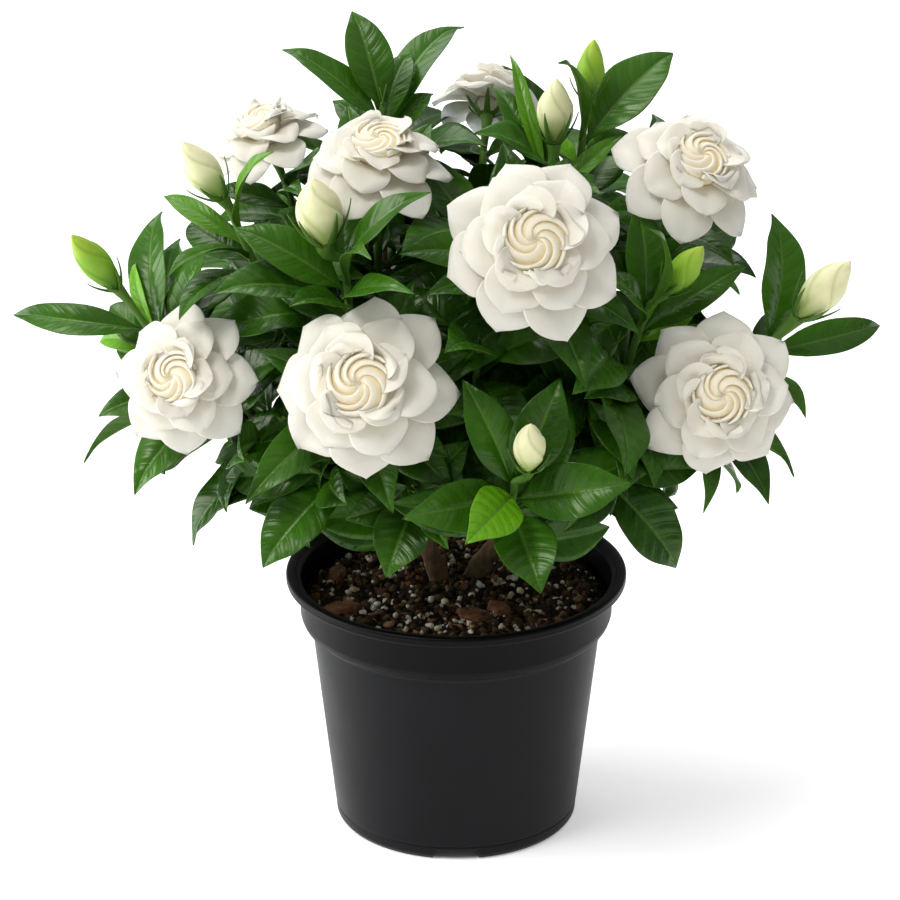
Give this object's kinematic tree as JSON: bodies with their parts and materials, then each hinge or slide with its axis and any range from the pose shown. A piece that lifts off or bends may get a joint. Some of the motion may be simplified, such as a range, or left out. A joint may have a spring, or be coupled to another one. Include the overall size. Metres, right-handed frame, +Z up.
{
  "type": "potted gardenia",
  "caption": "Evergreen gardenia shrub in flower, with glossy dark leaves, double ivory-white blooms and furled buds, growing in soil in a round black plastic nursery pot.",
  "frame": {"origin": "middle of the flat boss under the pot's floor, on the surface that the pot stands on", "axes": "+Z up; -Y towards the side that most of the blooms face, the plant's front; +X to the right when seen from the front"},
  "size_m": [0.4174, 0.3126, 0.3973],
  "materials": {
    "pot": "satin black moulded plastic",
    "soil": "rough dark potting mix of peat and composted bark",
    "bark": "rough brown bark",
    "chip": "rough red-brown bark chip",
    "leaf": "glossy dark green leaf with impressed veins",
    "petal": "soft ivory-white petal, cream at the heart",
    "bud_green": "smooth yellow-green furled bud",
    "bud_cream": "smooth cream furled bud"
  },
  "bodies": {
    "root": {"pot": "pot", "soil": "soil", "wood": "bark", "chip_left": "chip", "chip_front": "chip", "chip_middle": "chip", "chip_back_left": "chip", "chip_right": "chip", "bloom_front_left": "petal", "bloom_front_right": "petal", "bloom_right": "petal", "bloom_left": "petal", "bloom_upper_right": "petal", "bloom_upper_middle": "petal", "bloom_upper_left": "petal", "bloom_top_back": "petal", "bud_left": "bud_green", "bud_upper_left": "bud_cream", "bud_middle_left": "bud_cream", "bud_top_right": "bud_cream", "bud_top": "bud_green", "bud_right_middle": "bud_green", "bud_right": "bud_cream", "bud_front": "bud_cream", "shoot_front_left": "leaf", "shoot_front_right": "leaf", "shoot_right_flower": "leaf", "shoot_left_flower": "leaf", "shoot_upper_right": "leaf", "shoot_upper_middle": "leaf", "shoot_upper_left": "leaf", "shoot_top_back": "leaf", "shoot_left_bud": "leaf", "shoot_upper_left_bud": "leaf", "shoot_middle_left_bud": "leaf", "shoot_top_right_bud": "leaf", "shoot_top_bud": "leaf", "shoot_right_middle_bud": "leaf", "shoot_right_bud": "leaf", "shoot_front_bud": "leaf", "shoot_crown": "leaf", "shoot_low_left": "leaf", "shoot_low_middle": "leaf", "shoot_low_right": "leaf", "shoot_back_right_low": "leaf", "shoot_back_right": "leaf", "shoot_back_middle_right": "leaf", "shoot_back_middle": "leaf", "shoot_back_middle_left": "leaf", "shoot_back_left": "leaf", "shoot_back_left_low": "leaf", "shoot_back_top_right": "leaf", "shoot_back_top_left": "leaf", "shoot_inner_left": "leaf", "shoot_inner_front": "leaf", "shoot_inner_middle": "leaf", "shoot_inner_back": "leaf", "shoot_inner_right": "leaf", "shoot_inner_low_left": "leaf", "shoot_inner_low_right": "leaf"}
  },
  "joints": []
}
